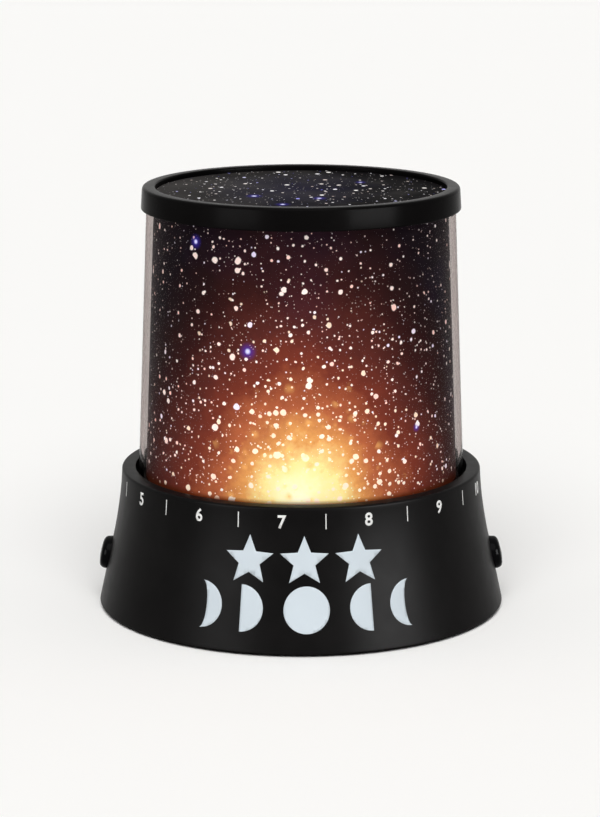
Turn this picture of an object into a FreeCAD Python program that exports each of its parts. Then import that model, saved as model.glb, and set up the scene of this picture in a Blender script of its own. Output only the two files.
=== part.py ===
import FreeCAD, Part

import math
import os
import re

import Sketcher

# A table-top star projector. A flared black base holds three cells, two push buttons, a control
# board and a post with four LEDs. A pierced star dome turns on the base, and a clear tapered
# shade with a printed film, a top ring and a star disc stands in a groove around it.
# Millimetres, +Z up. The origin is on the table under the lamp's axis, and the front is at -Y.

SIZES = {
    # base shell: a straight cone that flares into a nearly upright rim
    "base_radius": 58,
    "base_height": 40,
    "cone_height": 21,
    "cone_lean": 4.4,
    "flare_lean": 2.4,
    "flare_radius": 108,
    "shell_wall": 2,
    # the rim's ledge, the groove that the shade stands in, and the deck inside it
    "rim_width": 3.9,
    "moat_width": 4.3,
    "moat_depth": 3.5,
    "deck_drop": 0.8,
    "deck_width": 12,
    # screw bosses under the deck
    "boss_radius": 3.5,
    "boss_angle": 35,
    "pilot_depth": 9,
    # bottom cover and its four feet
    "foot_proud": 0.8,
    "foot_radius": 5,
    "foot_inset": 3.2,
    "plate_inset": 0.4,
    "plate_thick": 2.4,
    "cover_gap": 0.25,
    # general clearances
    "fit_gap": 0.2,
    "overrun": 1,
    # cells, their bay and contacts
    "cell_diameter": 14.2,
    "cell_length": 50.5,
    "cell_gap": 0.5,
    "nub_radius": 2.7,
    "nub_length": 1.3,
    "spring_room": 5.2,
    "bay_wall": 1.6,
    "contact_thick": 0.4,
    "contact_width": 9,
    "tail_width": 3,
    "tail_proud": 1,
    "leaf_width": 6,
    "leaf_tip": 2,
    # battery door
    "door_thick": 1.4,
    "door_lap": 2.2,
    "tongue_width": 7,
    "tongue_reach": 2,
    "tongue_root": 3,
    "tongue_thick": 1.2,
    "tongue_room": 3.4,
    "latch_width": 10,
    "latch_thick": 1.2,
    "latch_set": 1.4,
    "latch_hook": 1.3,
    "latch_play": 0.5,
    "thumb_radius": 6,
    "thumb_depth": 1.2,
    # screws
    "screw_radius": 1.25,
    "screw_length": 8,
    "head_radius": 2.8,
    "head_height": 1.2,
    # control board
    "board_rise": 4,
    "board_thick": 1.6,
    "board_inset": 1,
    "post_size": 5,
    "board_screw_length": 4,
    "chip_length": 10,
    "chip_width": 4,
    "chip_height": 1.6,
    "capacitor_radius": 3.15,
    "capacitor_height": 7,
    "resistor_length": 3.2,
    "resistor_width": 1.6,
    "resistor_height": 0.6,
    # LED post and LEDs
    "mast_size": 12,
    "mast_wall": 1.4,
    "mast_foot": 3,
    "mast_foot_thick": 1.5,
    "led_board_size": 24,
    "led_radius": 2.5,
    "led_length": 8.6,
    "led_chip": 5.5,
    "led_circle": 7.5,
    "pin_size": 0.6,
    "pin_pitch": 2,
    # buttons and their switches
    "button_height": 13.7,
    "button_radius": 4.8,
    "button_proud": 2.8,
    "button_taper": 0.55,
    "button_edge": 0.6,
    "button_tilt": 8,
    "button_travel": 1.5,
    "button_gap": 0.1,
    "sleeve_length": 4.2,
    "sleeve_wall": 1.5,
    "collar_lip": 1.4,
    "collar_thick": 1.2,
    "plunger_size": 3,
    "plunger_length": 3.6,
    "plunger_reach": 2.2,
    "switch_size": 8.5,
    "switch_depth": 7.5,
    "cradle_wall": 1.2,
    "cradle_height": 4,
    # power inlet
    "jack_width": 9,
    "jack_length": 9.5,
    "nose_radius": 3.4,
    "nose_length": 2.2,
    "socket_radius": 1.8,
    "socket_depth": 8,
    "jack_pin_radius": 0.65,
    # flat twin leads
    "lead_thick": 1.2,
    "lead_width": 2.4,
    "lead_bend": 1.8,
    "lead_stub": 2.6,
    "lead_hump": 2.4,
    "lead_land": 3,
    # star dome and its turning seat
    "turn_gap": 0.1,
    "running_gap": 0.08,
    "flange_inset": 6.5,
    "flange_thick": 2,
    "dome_step": 3,
    "dome_wall": 1.4,
    "neck_wall": 2,
    "retainer_step": 0.8,
    "retainer_lip": 3,
    "retainer_thick": 1.8,
    "star_radius": 0.45,
    # shade
    "lamp_height": 120.4,
    "shade_gap": 0.8,
    "shade_taper": 3.1,
    "tube_wall": 1.2,
    "tube_lip": 1.2,
    "film_inset": 2.1,
    "film_thick": 0.4,
    "ring_height": 6.3,
    "ring_overlap": 1.6,
    "ring_draft": 0.4,
    "ring_edge": 0.5,
    "disc_sink": 1.5,
    "disc_thick": 1,
    "seat_thick": 0.9,
    "seat_width": 1.6,
}

# Round forms are many-sided ones, so that the whole part stays light
SHELL_SIDES = 72
DOME_SIDES = 36
SMALL_SIDES = 24
LEAST_SIDES = 12
PIN_SIDES = 8
# where the flare's corners lie: shares of its height, and its curve as a power
FLARE_SHARES = (0.25, 0.6)
FLARE_POWER = 1.6

CELLS = 3
FEET = 4
LED_PINS = 4
DOME_ZONES = 4
ZONE_STEP = 18
STARS = 26
GOLDEN_ANGLE = 137.508
# where things stand on the control board, as shares of its half length and half width
POST_SHARES = (0.82, 0.66)
CHIP_SHARES = (-0.5, 0.5)
CAPACITOR_SHARES = (0.5, -0.5)
RESISTOR_SHARES = ((0.4, 0.5), (0.6, 0.5), (-0.4, -0.45), (-0.6, -0.45))
TONGUE_SHARE = 0.5

# Places worked out from the sizes, as expressions
CONE_SLOPE = "(cone_lean / (cone_height - foot_proud))"
RIM_RADIUS = "(base_radius - cone_lean - flare_lean)"
MOAT_OUTER = f"({RIM_RADIUS} - rim_width)"
MOAT_INNER = f"({MOAT_OUTER} - moat_width)"
MOAT_FLOOR = "(base_height - moat_depth)"
DECK_TOP = "(base_height - deck_drop)"
DECK_UNDER = f"({DECK_TOP} - shell_wall)"
HOLE_RADIUS = f"({MOAT_INNER} - deck_width)"
INNER_SLOPE = f"((cone_lean + flare_lean) / ({MOAT_FLOOR} - shell_wall - foot_proud))"
BOSS_REACH = f"({MOAT_INNER} + overrun)"
PLATE_UNDER = "(foot_proud + plate_inset)"
PLATE_TOP = f"({PLATE_UNDER} + plate_thick)"
DOOR_TOP = f"({PLATE_UNDER} + door_thick)"
COVER_RADIUS = f"(base_radius - shell_wall - cover_gap - {INNER_SLOPE} * ({PLATE_TOP} - foot_proud))"
CELL_PITCH = "(cell_diameter + cell_gap)"
BAY_X = f"({CELLS} * {CELL_PITCH} / 2)"
BAY_Y = "((cell_length + spring_room) / 2 + contact_thick)"
CELL_Z = f"({DOOR_TOP} + cell_gap + cell_diameter / 2)"
BAY_TOP = f"({CELL_Z} + cell_diameter / 2 + cell_gap)"
ROOF_TOP = f"({BAY_TOP} + bay_wall)"
BOARD_UNDER = f"({ROOF_TOP} + board_rise)"
BOARD_TOP = f"({BOARD_UNDER} + board_thick)"
BOARD_X = f"({BAY_X} - board_inset)"
BOARD_Y = f"({BAY_Y} + bay_wall)"
DOOR_X = f"({BAY_X} + door_lap - fit_gap)"
DOOR_Y = f"({BAY_Y} + door_lap - fit_gap)"
HINGE_Y = f"(-{DOOR_Y})"
LATCH_Y = f"({DOOR_Y} + latch_set)"
FLANGE_UNDER = f"({DECK_TOP} + turn_gap)"
DOME_Z = f"({FLANGE_UNDER} + flange_thick)"
FLANGE_RADIUS = f"({MOAT_INNER} - flange_inset)"
DOME_RADIUS = f"({FLANGE_RADIUS} - dome_step)"
NECK_RADIUS = f"({HOLE_RADIUS} - running_gap)"
STEP_RADIUS = f"({NECK_RADIUS} - retainer_step)"
RETAINER_TOP = f"({DECK_UNDER} - turn_gap)"
RETAINER_UNDER = f"({RETAINER_TOP} - retainer_thick)"
LED_SEAT = f"({DOME_Z} - led_chip)"
LED_BOARD_UNDER = f"({LED_SEAT} - board_thick)"
WALL_X = f"(base_radius - {CONE_SLOPE} * (button_height - foot_proud))"
SLEEVE_END = f"({WALL_X} - shell_wall - sleeve_length)"
BUTTON_BACK = f"({SLEEVE_END} - button_gap - collar_thick)"
SWITCH_FRONT = f"({BUTTON_BACK} - plunger_reach)"
SWITCH_BACK = f"({SWITCH_FRONT} - switch_depth)"
SWITCH_UNDER = "(button_height - switch_size / 2)"
JACK_Z = f"({PLATE_TOP} + jack_width / 2)"
JACK_FRONT = (f"(base_radius - shell_wall - 2 * fit_gap - "
              f"{INNER_SLOPE} * ({PLATE_TOP} + jack_width - foot_proud))")
JACK_BACK = f"({JACK_FRONT} - jack_length)"
SHADE_FOOT = f"({MOAT_OUTER} - shade_gap)"
SHADE_TOP = f"({SHADE_FOOT} - shade_taper)"
DISC_UNDER = "(lamp_height - disc_sink - disc_thick)"
TUBE_TOP = f"({DISC_UNDER} - seat_thick)"
TUBE_SLOPE = f"(shade_taper / ({TUBE_TOP} - {MOAT_FLOOR}))"
FILM_FOOT_Z = f"({MOAT_FLOOR} + tube_lip)"
FILM_FOOT = f"({SHADE_FOOT} - {TUBE_SLOPE} * tube_lip - film_inset)"
FILM_TOP = f"({SHADE_TOP} - film_inset)"
OPENING_RADIUS = f"({FILM_TOP} - film_thick)"
SEAT_RADIUS = f"({OPENING_RADIUS} - seat_width)"

V = FreeCAD.Vector
doc = FreeCAD.newDocument("star_projector")
sheet = doc.addObject("Spreadsheet::Sheet", "Sizes")
for row, (alias, value) in enumerate(SIZES.items(), 1):
    sheet.set(f"A{row}", alias)
    sheet.set(f"B{row}", str(value))
    sheet.setAlias(f"B{row}", alias)
doc.recompute()


def bound(text):
    """An expression with each size's name led back to its cell in the sheet."""
    return re.sub(r"[a-z][a-z_]*[a-z]\b(?!\()", lambda name: "Sizes." + name.group(), str(text))


def number(text):
    """The present value of an expression."""
    return float(sheet.evalExpression(bound(text)))


def new_body(label, x="0", y="0", z="0", turn=0):
    """An empty body, turned about its own upright axis and placed by expressions."""
    body = doc.addObject("PartDesign::Body", label)
    body.Label = label
    body.Placement = FreeCAD.Placement(V(), FreeCAD.Rotation(V(0, 0, 1), turn))
    for axis, place in zip("xyz", (x, y, z)):
        body.setExpression(f"Placement.Base.{axis}", bound(place))
    return body


def arc_between(start, end, radius, clockwise):
    """The short arc from start to end. Its own sense is always counter-clockwise."""
    if clockwise:
        start, end = end, start
    chord = end - start
    height = math.sqrt(radius ** 2 - (chord.Length / 2) ** 2)
    centre = (start + end) / 2 + V(-chord.y, chord.x, 0).normalize() * height
    first, last = (math.atan2(p.y - centre.y, p.x - centre.x) for p in (start, end))
    return Part.ArcOfCircle(Part.Circle(centre, V(0, 0, 1), radius), first, last)


def add_outline(sketch, points):
    """A closed outline of (x, y) or (x, y, radius): with a radius the edge that leaves the point
    is an arc, and a minus sign before the radius makes it run clockwise. Every point is held at
    its place from the origin by its own expressions."""
    base = sketch.GeometryCount
    count = len(points)
    places = [V(number(point[0]), number(point[1]), 0) for point in points]
    ends = []
    for i, point in enumerate(points):
        start, end = places[i], places[(i + 1) % count]
        if len(point) == 2:
            sketch.addGeometry(Part.LineSegment(start, end))
            ends.append((1, 2))
        else:
            clockwise = point[2].startswith("-")
            sketch.addGeometry(arc_between(start, end, number(point[2].lstrip("-")), clockwise))
            ends.append((2, 1) if clockwise else (1, 2))
    joints = [Sketcher.Constraint("Coincident", base + i, ends[i][1], base + after, ends[after][0])
              for i, after in ((i, (i + 1) % count) for i in range(count))]
    held, texts = [], []
    for i, point in enumerate(points):
        held.append(Sketcher.Constraint("DistanceX", -1, 1, base + i, ends[i][0], places[i].x))
        held.append(Sketcher.Constraint("DistanceY", -1, 1, base + i, ends[i][0], places[i].y))
        texts += point[:2]
        if len(point) == 3:
            radius = point[2].lstrip("-")
            held.append(Sketcher.Constraint("Radius", base + i, number(radius)))
            texts.append(radius)
    sketch.addConstraint(joints)
    for place, text in zip(sketch.addConstraint(held), texts):
        sketch.setExpression(f"Constraints[{place}]", bound(text))


def add_circle(sketch, x, y, radius, sides=LEAST_SIDES):
    """A round outline as a many-sided one."""
    turns = [360 * i / sides for i in range(sides)]
    add_outline(sketch, [(f"{x} + ({radius}) * cos({turn})", f"{y} + ({radius}) * sin({turn})")
                         for turn in turns])


def add_round(sketch, radius):
    """A true circle round the origin."""
    place = sketch.addGeometry(Part.Circle(V(), V(0, 0, 1), number(radius)))
    sketch.addConstraint(Sketcher.Constraint("Coincident", place, 3, -1, 1))
    held = sketch.addConstraint(Sketcher.Constraint("Radius", place, number(radius)))
    sketch.setExpression(f"Constraints[{held}]", bound(radius))


def new_sketch(body, plane, outlines=(), circles=(), lift="0", rounds=()):
    """A sketch on one of the body's own planes, lifted along the plane's normal. The normals are
    +Z for XY, -Y for XZ and +X for YZ."""
    sketch = body.newObject("Sketcher::SketchObject", "Sketch")
    role = f"{plane}_Plane"
    origin_plane = [f for f in body.Origin.OriginFeatures if f.Role == role][0]
    sketch.AttachmentSupport = [(origin_plane, "")]
    sketch.MapMode = "FlatFace"
    sketch.setExpression("AttachmentOffset.Base.z", bound(lift))
    for points in outlines:
        add_outline(sketch, points)
    for circle in circles:
        add_circle(sketch, *circle)
    for radius in rounds:
        add_round(sketch, radius)
    return sketch


def finish_feature(body, feature, grows):
    """Recompute, and stop where a feature failed or a cut or a pad changed nothing."""
    before = body.Tip.Shape.Volume if body.Tip and body.Tip != feature else None
    if body.Tip == feature and feature.BaseFeature:
        before = feature.BaseFeature.Shape.Volume
    doc.recompute()
    if feature.Shape.isNull() or "Invalid" in feature.State or "Error" in feature.State:
        raise RuntimeError(f"{body.Label}: {feature.Name} failed")
    if before is not None and (feature.Shape.Volume > before) != grows:
        raise RuntimeError(f"{body.Label}: {feature.Name} changed nothing")
    return feature


def pad(body, sketch, length=None, both_ways=False, back=False, to_first=False):
    feature = body.newObject("PartDesign::Pad", "Pad")
    feature.Profile = sketch
    feature.Refine = False
    feature.Midplane = both_ways
    feature.Reversed = back
    if to_first:
        feature.Type = "UpToFirst"
    else:
        feature.setExpression("Length", bound(length))
    return finish_feature(body, feature, True)


def pocket(body, sketch, length=None, along_normal=False, both_ways=False):
    """Cut against the sketch's normal, or along it. Without a length the cut runs right through."""
    feature = body.newObject("PartDesign::Pocket", "Pocket")
    feature.Profile = sketch
    feature.Refine = False
    feature.Midplane = both_ways
    feature.Reversed = along_normal
    if length is None:
        feature.Type = "ThroughAll"
    else:
        feature.setExpression("Length", bound(length))
    return finish_feature(body, feature, False)


def ring(radius, height, sides):
    """The corners of a level, even-sided outline. The last is the first again."""
    turns = [2 * math.pi * k / sides for k in range(sides)]
    corners = [V(radius * math.cos(turn), radius * math.sin(turn), height) for turn in turns]
    return corners + corners[:1]


def turned(label, section, sides=SHELL_SIDES):
    """A closed half section of (radius, height) corners, turned about Z in flat steps. A revolved
    feature would give the same form in round faces, which cost far more triangles."""
    corners = [(number(radius), number(height)) for radius, height in section]
    faces = []
    for (radius, height), (next_radius, next_height) in zip(corners, corners[1:] + corners[:1]):
        if radius == next_radius == 0:
            continue
        here, there = ring(radius, height, sides), ring(next_radius, next_height, sides)
        if height == next_height:
            wires = [Part.makePolygon(loop) for loop, reach in ((here, radius), (there, next_radius)) if reach]
            faces.append(Part.Face(wires, "Part::FaceMakerBullseye"))
        else:
            faces += [Part.Face(Part.makePolygon([here[k], here[k + 1], there[k + 1], there[k], here[k]]))
                      for k in range(sides)]
    shell = Part.makeShell(faces)
    shell.sewShape()
    solid = Part.makeSolid(shell)
    if solid.Volume < 0:
        solid.reverse()
    piece = doc.addObject("Part::Feature", label)
    piece.Label = label
    piece.Shape = solid
    return piece


def body_from(label, blank):
    """A body that starts from a blank, for the features that are added to it."""
    body = new_body(label)
    doc.recompute()
    body.BaseFeature = blank
    doc.recompute()
    return body


def rectangle(x_low, x_high, y_low, y_high):
    return [(x_low, y_low), (x_high, y_low), (x_high, y_high), (x_low, y_high)]


def centred(x, y, half_x, half_y):
    return rectangle(f"{x} - {half_x}", f"{x} + {half_x}", f"{y} - {half_y}", f"{y} + {half_y}")


def spaced(count, reach, first="0"):
    """Places spread evenly on a circle, as pairs of expressions."""
    return [(f"{reach} * cos({first} + {360 * i / count})", f"{reach} * sin({first} + {360 * i / count})")
            for i in range(count)]


def boss_places():
    """The screws stand in two mirrored pairs, clear of the battery bay and of the buttons."""
    x = f"{BOSS_REACH} * cos(boss_angle)"
    y = f"{BOSS_REACH} * sin(boss_angle)"
    return [(f"{sx} * {x}", f"{sy} * {y}") for sx in (-1, 1) for sy in (-1, 1)]


def foot_places():
    return spaced(FEET, f"({COVER_RADIUS} - foot_radius - foot_inset)")


def post_places():
    x, y = POST_SHARES
    return [(f"{sx * x} * {BOARD_X}", f"{sy * y} * {BOARD_Y}") for sx in (-1, 1) for sy in (-1, 1)]


def board_screw_places():
    """The board is screwed down at two of its four posts, in opposite corners."""
    return [post_places()[0], post_places()[3]]


def cells():
    """Each cell's place across the bay, and the way its positive end points."""
    for i in range(CELLS):
        yield f"({i - (CELLS - 1) / 2} * {CELL_PITCH})", 1 if i % 2 == 0 else -1


def make_base_shell():
    flare = [(f"base_radius - cone_lean - {1 - (1 - share) ** FLARE_POWER} * flare_lean",
              f"cone_height + {share} * (base_height - cone_height)") for share in FLARE_SHARES]
    body = body_from("base_shell", turned("base_blank", [
        ("base_radius", "foot_proud"),
        ("base_radius - cone_lean", "cone_height"),
        *flare,
        (RIM_RADIUS, "base_height"),
        (MOAT_OUTER, "base_height"),
        (MOAT_OUTER, MOAT_FLOOR),
        (MOAT_INNER, MOAT_FLOOR),
        (MOAT_INNER, DECK_TOP),
        (f"{HOLE_RADIUS} - overrun", DECK_TOP),
        (f"{HOLE_RADIUS} - overrun", DECK_UNDER),
        (f"{MOAT_INNER} - shell_wall", DECK_UNDER),
        (f"{MOAT_INNER} - shell_wall", f"{MOAT_FLOOR} - shell_wall"),
        (f"{RIM_RADIUS} - shell_wall", f"{MOAT_FLOOR} - shell_wall"),
        ("base_radius - shell_wall", "foot_proud"),
    ]))
    # the dome's neck turns in this hole, so it is truly round
    pocket(body, new_sketch(body, "XY", lift=DECK_TOP, rounds=[HOLE_RADIUS]), "shell_wall + overrun")
    bosses = [(x, y, "boss_radius") for x, y in boss_places()]
    pad(body, new_sketch(body, "XY", circles=bosses, lift=PLATE_TOP),
        f"{MOAT_FLOOR} - shell_wall / 2 - {PLATE_TOP}")
    pilots = [(x, y, "screw_radius + running_gap") for x, y in boss_places()]
    pocket(body, new_sketch(body, "XY", circles=pilots, lift=PLATE_TOP), "pilot_depth", along_normal=True)
    # each button runs in a sleeve that grows out of the wall
    for side in (1, -1):
        plane = f"{side} * {SLEEVE_END}"
        sleeve = [("0", "button_height", "button_radius + fit_gap + sleeve_wall", SMALL_SIDES)]
        pad(body, new_sketch(body, "YZ", circles=sleeve, lift=plane), back=side < 0, to_first=True)
        bore = [("0", "button_height", "button_radius + fit_gap", SMALL_SIDES)]
        pocket(body, new_sketch(body, "YZ", circles=bore, lift=plane), along_normal=side > 0)
    inlet = [("0", JACK_Z, "nose_radius + fit_gap")]
    pocket(body, new_sketch(body, "XZ", circles=inlet, lift=f"-{JACK_FRONT}"))
    return body


def make_bottom_cover():
    """A plate with the battery bay, the door's rebate, the board's posts and three cradles."""
    body = body_from("bottom_cover", turned("plate_blank", rectangle("0", COVER_RADIUS, PLATE_UNDER, PLATE_TOP)))
    box = centred("0", "0", f"({BAY_X} + bay_wall)", f"({BAY_Y} + bay_wall)")
    pad(body, new_sketch(body, "XY", [box], lift=f"{PLATE_TOP} - plate_thick / 2"),
        f"{ROOF_TOP} - {PLATE_TOP} + plate_thick / 2")
    cavity = centred("0", "0", BAY_X, BAY_Y)
    pocket(body, new_sketch(body, "XY", [cavity], lift=PLATE_UNDER), f"{BAY_TOP} - {PLATE_UNDER}",
           along_normal=True)
    # the door's rebate, with a bay at its rear end for the latch tab
    rebate_x = f"({DOOR_X} + fit_gap)"
    rebate_y = f"({DOOR_Y} + fit_gap)"
    tab_x = "(latch_width / 2 + 2 * fit_gap + latch_play)"
    tab_y = f"({LATCH_Y} + latch_thick + latch_set)"
    rebate = [(f"-{rebate_x}", f"-{rebate_y}"), (rebate_x, f"-{rebate_y}"), (rebate_x, rebate_y),
              (tab_x, rebate_y), (tab_x, tab_y), (f"-{tab_x}", tab_y), (f"-{tab_x}", rebate_y),
              (f"-{rebate_x}", rebate_y)]
    pocket(body, new_sketch(body, "XY", [rebate], lift=PLATE_UNDER), "door_thick", along_normal=True)
    thumb = [("0", tab_y, "thumb_radius")]
    pocket(body, new_sketch(body, "XY", circles=thumb, lift=PLATE_UNDER), "thumb_depth", along_normal=True)
    slot = rectangle("-latch_width / 2 - latch_play", "latch_width / 2 + latch_play",
                     f"{LATCH_Y} - latch_play", f"{LATCH_Y} + latch_thick + latch_play")
    pocket(body, new_sketch(body, "XY", [slot], lift=PLATE_UNDER), "plate_thick + overrun", along_normal=True)
    # two slots let the door's tongues hook over the plate and swing up inside the bay's end wall
    slots = [rectangle(f"{side * TONGUE_SHARE} * {BAY_X} - tongue_width / 2 - fit_gap",
                       f"{side * TONGUE_SHARE} * {BAY_X} + tongue_width / 2 + fit_gap",
                       f"-{rebate_y} - tongue_reach - fit_gap", f"-{BAY_Y} + contact_thick")
             for side in (-1, 1)]
    pocket(body, new_sketch(body, "XY", slots, lift=DOOR_TOP), "tongue_room", along_normal=True)
    sinks = [(x, y, "head_radius + 2 * fit_gap") for x, y in boss_places()]
    pocket(body, new_sketch(body, "XY", circles=sinks, lift=PLATE_UNDER), "head_height + fit_gap / 2",
           along_normal=True)
    holes = [(x, y, "screw_radius + fit_gap") for x, y in boss_places()]
    pocket(body, new_sketch(body, "XY", circles=holes, lift=PLATE_UNDER), "plate_thick + overrun",
           along_normal=True)
    # posts under the control board, two of them with pilot holes
    posts = [centred(x, y, "post_size / 2", "post_size / 2") for x, y in post_places()]
    pad(body, new_sketch(body, "XY", posts, lift=f"{ROOF_TOP} - bay_wall / 2"), "board_rise + bay_wall / 2")
    pilots = [(x, y, "screw_radius + running_gap") for x, y in board_screw_places()]
    pocket(body, new_sketch(body, "XY", circles=pilots, lift=BOARD_UNDER), "board_rise - running_gap")
    # slots in the bay's roof for the two contact tails
    tails = [centred(x, f"{y_side} * ({BAY_Y} - contact_thick / 2)", "(tail_width / 2 + fit_gap)",
                     "(contact_thick / 2 + fit_gap)") for x, y_side in tail_places()]
    pocket(body, new_sketch(body, "XY", tails, lift=BAY_TOP), "bay_wall + overrun", along_normal=True)
    # cradles for the two switches and for the power inlet
    half = "(switch_size / 2 + fit_gap / 2)"
    for side in (-1, 1):
        front, rear = f"{side} * {SWITCH_FRONT}", f"{side} * {SWITCH_BACK}"
        wall = f"{side} * cradle_wall"
        block = rectangle(f"{rear} - {wall}", front, f"-{half} - cradle_wall", f"{half} + cradle_wall")
        pad(body, new_sketch(body, "XY", [block], lift=f"{PLATE_TOP} - plate_thick / 2"),
            f"{SWITCH_UNDER} - {PLATE_TOP} + plate_thick / 2")
        cheeks = [rectangle(rear, front, f"{y} * {half}", f"{y} * ({half} + cradle_wall)") for y in (-1, 1)]
        pad(body, new_sketch(body, "XY", cheeks, lift=f"{SWITCH_UNDER} - cradle_wall"),
            "cradle_height + cradle_wall")
    half = "(jack_width / 2 + fit_gap / 2)"
    cheeks = [rectangle(f"{x} * {half}", f"{x} * ({half} + cradle_wall)", JACK_BACK,
                        f"{JACK_FRONT} - cradle_wall") for x in (-1, 1)]
    pad(body, new_sketch(body, "XY", cheeks, lift=f"{PLATE_TOP} - plate_thick / 2"),
        "cradle_height + plate_thick / 2")
    return body


def tail_places():
    """The end contacts of the series of cells have tails that rise to the board."""
    places = list(cells())
    return [(places[0][0], -1), (places[-1][0], 1)]


def make_battery_door():
    body = new_body("battery_door")
    tab_x = "(latch_width / 2 + latch_play)"
    tab_y = f"({LATCH_Y} + latch_thick + latch_set - fit_gap)"
    panel = [(f"-{DOOR_X}", HINGE_Y), (DOOR_X, HINGE_Y), (DOOR_X, DOOR_Y), (tab_x, DOOR_Y), (tab_x, tab_y),
             (f"-{tab_x}", tab_y), (f"-{tab_x}", DOOR_Y), (f"-{DOOR_X}", DOOR_Y)]
    pad(body, new_sketch(body, "XY", [panel], lift=PLATE_UNDER), "door_thick")
    tongues = [rectangle(f"{side * TONGUE_SHARE} * {BAY_X} - tongue_width / 2",
                         f"{side * TONGUE_SHARE} * {BAY_X} + tongue_width / 2",
                         f"{HINGE_Y} - tongue_reach", f"{HINGE_Y} + tongue_root") for side in (-1, 1)]
    pad(body, new_sketch(body, "XY", tongues, lift=DOOR_TOP), "tongue_thick")
    # the latch is an upright arm whose hook lies over the cover's plate
    hook_z = f"({PLATE_TOP} + fit_gap)"
    arm = [(LATCH_Y, DOOR_TOP), (f"{LATCH_Y} + latch_thick", DOOR_TOP),
           (f"{LATCH_Y} + latch_thick", hook_z), (f"{LATCH_Y} + latch_thick + latch_hook", hook_z),
           (f"{LATCH_Y} + latch_thick", f"{hook_z} + 2 * latch_thick"), (LATCH_Y, f"{hook_z} + 2 * latch_thick")]
    pad(body, new_sketch(body, "YZ", [arm]), "latch_width", both_ways=True)
    return body


def make_rubber_feet():
    """Discs stuck on the cover. They alone touch the table."""
    feet = []
    for i, (x, y) in enumerate(foot_places(), 1):
        foot = turned(f"foot_{i}", rectangle("0", "foot_radius", "0", PLATE_UNDER), SMALL_SIDES)
        foot.Placement.Base = V(number(x), number(y), 0)
        feet.append(foot)
    return group("rubber_feet", feet)


def make_screws(label, places, seat, length, upward):
    """Pan-head screws. They point up from the seat, or down into it."""
    body = new_body(label, z=seat)
    heads = [(x, y, "head_radius") for x, y in places]
    shanks = [(x, y, "screw_radius") for x, y in places]
    pad(body, new_sketch(body, "XY", circles=heads), "head_height", back=upward)
    pad(body, new_sketch(body, "XY", circles=shanks), length, back=not upward)
    return body


def make_battery_cells():
    """Each cell's nub touches its contact, and its far end leaves room for the leaf."""
    parts = []
    for i, (x, side) in enumerate(cells()):
        part = turned(f"cell_{i + 1}", [
            ("0", "0"), ("nub_radius", "0"), ("nub_radius", "nub_length"), ("cell_diameter / 2", "nub_length"),
            ("cell_diameter / 2", "cell_length"), ("0", "cell_length")], SMALL_SIDES)
        nub = V(number(x), side * number(f"{BAY_Y} - contact_thick"), number(CELL_Z))
        part.Placement = FreeCAD.Placement(nub, FreeCAD.Rotation(V(1, 0, 0), side * 90))
        parts.append(part)
    return group("battery_cells", parts)


def group(label, parts):
    """Separate solids of one kind, kept together under one name."""
    together = doc.addObject("Part::Compound", label)
    together.Label = label
    together.Links = parts
    doc.recompute()
    return together


def make_contact_plates():
    """One plate at each end of the series, with a tail, and one that bridges each pair of cells."""
    body = new_body("contact_plates")
    half = "contact_width / 2"
    low, high = f"{CELL_Z} - {half}", f"{CELL_Z} + {half}"
    places = [x for x, side in cells()]
    for y_side, joined in ((-1, (1, 2)), (1, (0, 1))):
        alone = places[0 if y_side < 0 else -1]
        top = f"{BOARD_TOP} + tail_proud"
        single = [(f"{alone} - {half}", low), (f"{alone} + {half}", low), (f"{alone} + {half}", high),
                  (f"{alone} + tail_width / 2", high), (f"{alone} + tail_width / 2", top),
                  (f"{alone} - tail_width / 2", top), (f"{alone} - tail_width / 2", high),
                  (f"{alone} - {half}", high)]
        bridge = rectangle(f"{places[joined[0]]} - {half}", f"{places[joined[1]]} + {half}", low, high)
        sketch = new_sketch(body, "XZ", [single, bridge], lift=f"-{y_side} * {BAY_Y}")
        pad(body, sketch, "contact_thick", back=y_side < 0)
    return body


def make_contact_leaves():
    """A bent leaf presses on each cell's flat end."""
    parts = []
    for i, (x, side) in enumerate(cells()):
        body = new_body(f"leaf_{i + 1}", x=x, z=CELL_Z)
        root = f"{-side} * ({BAY_Y} - contact_thick)"
        tip = f"{-side} * ({BAY_Y} - contact_thick - spring_room)"
        thick = f"{-side} * contact_thick"
        reach, tip_half = "contact_width / 2", "leaf_tip / 2"
        leaf = [(root, f"-{reach}"), (f"{root} - {thick}", f"-{reach}"), (tip, f"-{tip_half}"),
                (tip, tip_half), (f"{root} - {thick}", reach), (root, reach),
                (root, f"{reach} - 2 * contact_thick"), (f"{tip} + {thick}", f"{tip_half} - contact_thick / 2"),
                (f"{tip} + {thick}", f"-{tip_half} + contact_thick / 2"), (root, f"-{reach} + 2 * contact_thick")]
        pad(body, new_sketch(body, "YZ", [leaf]), "leaf_width", both_ways=True)
        parts.append(body)
    return group("contact_leaves", parts)


def make_control_board():
    body = new_body("control_board")
    board = centred("0", "0", BOARD_X, BOARD_Y)
    slots = [centred(x, f"{y_side} * ({BAY_Y} - contact_thick / 2)", "(tail_width / 2 + fit_gap)",
                     "(contact_thick / 2 + fit_gap)") for x, y_side in tail_places()]
    holes = [(x, y, "screw_radius + running_gap") for x, y in board_screw_places()]
    pad(body, new_sketch(body, "XY", [board] + slots, holes, lift=BOARD_UNDER), "board_thick")
    return body


def make_board_blocks(label, places, half_x, half_y, height):
    body = new_body(label)
    blocks = [centred(f"{x} * {BOARD_X}", f"{y} * {BOARD_Y}", half_x, half_y) for x, y in places]
    pad(body, new_sketch(body, "XY", blocks, lift=BOARD_TOP), height)
    return body


def make_capacitor():
    body = new_body("capacitor")
    x, y = CAPACITOR_SHARES
    can = [(f"{x} * {BOARD_X}", f"{y} * {BOARD_Y}", "capacitor_radius")]
    pad(body, new_sketch(body, "XY", circles=can, lift=BOARD_TOP), "capacitor_height")
    return body


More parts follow.
